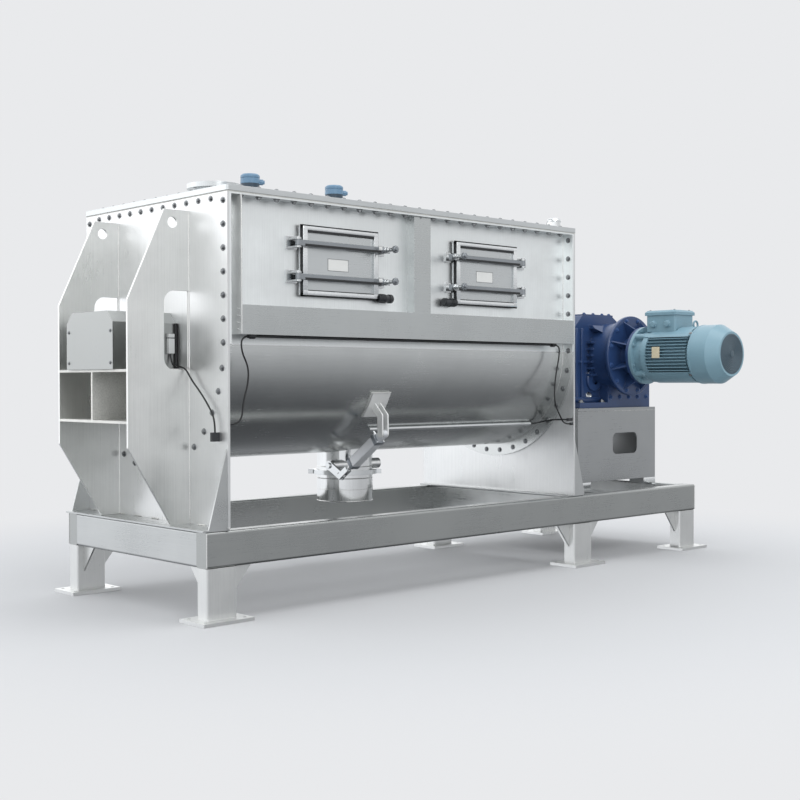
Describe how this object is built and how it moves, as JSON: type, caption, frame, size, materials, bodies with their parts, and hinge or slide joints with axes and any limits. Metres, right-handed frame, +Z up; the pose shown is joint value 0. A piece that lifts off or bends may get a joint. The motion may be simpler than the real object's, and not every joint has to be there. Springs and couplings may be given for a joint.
{
  "type": "ribbon blender",
  "caption": "Horizontal ribbon blender: U-shaped trough on a tube frame, bolted lid, hinged side doors, counter-wound ribbon rotor, geared motor drive and an air-driven bottom flap valve.",
  "frame": {"origin": "on the floor, at the centre of the rectangle of the frame's corner anchor holes", "axes": "+X along the mixer shaft towards the gearbox and motor, -Y is the side with the doors and the motor, +Z up"},
  "size_m": [3.9745, 1.781, 2.034],
  "materials": {
    "stainless": "brushed",
    "door_bar_grey": "satin",
    "gasket_rubber": "matte",
    "bearing_iron": "satin",
    "gear_blue": "semi-gloss",
    "motor_paint": "semi-gloss",
    "fitting_blue": "satin",
    "switch_plastic": "matte",
    "cylinder_aluminium": "anodised",
    "cable_black": "matte"
  },
  "bodies": {
    "machine": {"side_rails": "stainless", "cross_rails": "stainless", "legs": "stainless", "leg_gussets": "stainless", "trough_shell": "stainless", "left_end_plate": "stainless", "right_end_plate": "stainless", "plate_feet": "stainless", "side_beams": "stainless", "lid_gasket": "gasket_rubber", "lid": "stainless", "fill_neck": "stainless", "lid_fittings": "fitting_blue", "door_frames": "stainless", "door_gaskets": "gasket_rubber", "door_lugs": "stainless", "hinge_pins": "stainless", "door_switches": "switch_plastic", "bearing_brackets": "stainless", "bearing_shelves": "stainless", "bearing_cover": "stainless", "left_bearing": "bearing_iron", "shaft_seals": "bearing_iron", "right_bearing": "bearing_iron", "coupling_guard": "stainless", "gearbox_housing": "gear_blue", "input_lantern": "gear_blue", "gearbox_pedestal": "stainless", "motor_body": "motor_paint", "terminal_box": "motor_paint", "fan_cowl": "motor_paint", "discharge_neck": "stainless", "discharge_skirt": "stainless", "clamp_ring": "stainless", "cylinder_bracket": "stainless", "service_pipes": "stainless", "cable_fittings": "switch_plastic", "cable_front_left": "cable_black", "cable_front_right": "cable_black", "cable_left": "cable_black", "valve_hose": "cable_black"},
    "rotor": {"mixer_shaft": "stainless", "outer_ribbon": "stainless", "ribbon_arms": "stainless", "inner_ribbon": "stainless", "shaft_coupling": "bearing_iron", "coupling_disc": "gasket_rubber"},
    "motor_fan": {"motor_rotor": "stainless"},
    "door_1": {"door_1_panel": "stainless", "door_1_bars": "door_bar_grey"},
    "door_2": {"door_2_panel": "stainless", "door_2_bars": "door_bar_grey"},
    "valve": {"valve_shaft": "stainless", "valve_flap": "stainless"},
    "barrel": {"cylinder_barrel": "cylinder_aluminium"},
    "rod": {"cylinder_rod": "stainless"},
    "door_1_lower_clamp": {"door_1_lower_screw": "stainless"},
    "door_1_upper_clamp": {"door_1_upper_screw": "stainless"},
    "door_2_lower_clamp": {"door_2_lower_screw": "stainless"},
    "door_2_upper_clamp": {"door_2_upper_screw": "stainless"}
  },
  "joints": [
    {"name": "mixer_spin", "type": "hinge", "parent": "machine", "child": "rotor", "pos_m": [0, 0, 1.22], "axis": [1, 0, 0], "continuous": true},
    {"name": "motor_spin", "type": "hinge", "parent": "machine", "child": "motor_fan", "pos_m": [1.454, -0.8, 1.21], "axis": [0, 1, 0], "continuous": true},
    {"name": "door_1_open", "type": "hinge", "parent": "machine", "child": "door_1", "pos_m": [-1.321, -0.58, 1.617], "axis": [0, 0, -1], "range_deg": [0, 110]},
    {"name": "door_2_open", "type": "hinge", "parent": "machine", "child": "door_2", "pos_m": [0.242, -0.58, 1.617], "axis": [0, 0, 1], "range_deg": [0, 110]},
    {"name": "door_1_lower_clamp_turn", "type": "hinge", "parent": "door_1", "child": "door_1_lower_clamp", "pos_m": [-0.781, -0.65, 1.539], "axis": [0, -1, 0], "continuous": true},
    {"name": "door_1_upper_clamp_turn", "type": "hinge", "parent": "door_1", "child": "door_1_upper_clamp", "pos_m": [-0.781, -0.65, 1.695], "axis": [0, -1, 0], "continuous": true},
    {"name": "door_2_lower_clamp_turn", "type": "hinge", "parent": "door_2", "child": "door_2_lower_clamp", "pos_m": [-0.298, -0.65, 1.539], "axis": [0, -1, 0], "continuous": true},
    {"name": "door_2_upper_clamp_turn", "type": "hinge", "parent": "door_2", "child": "door_2_upper_clamp", "pos_m": [-0.298, -0.65, 1.695], "axis": [0, -1, 0], "continuous": true},
    {"name": "valve_turn", "type": "hinge", "parent": "machine", "child": "valve", "pos_m": [-0.544, -0.095, 0.615], "axis": [1, 0, 0], "range_deg": [0, 65]},
    {"name": "barrel_tilt", "type": "hinge", "parent": "machine", "child": "barrel", "pos_m": [-0.73, -0.51, 0.793], "axis": [1, 0, 0], "range_deg": [0, 0.76]},
    {"name": "rod_slide", "type": "slide", "parent": "barrel", "child": "rod", "axis": [0, 0.8172, -0.5763], "range_m": [0, 0.114]}
  ],
  "couplings": [
    {"joint": "motor_spin", "follows": "mixer_spin", "ratio": 40},
    {"joint": "barrel_tilt", "follows": "valve_turn", "ratio": 0.0115},
    {"joint": "rod_slide", "follows": "valve_turn", "m_per_rad": 0.1001}
  ]
}
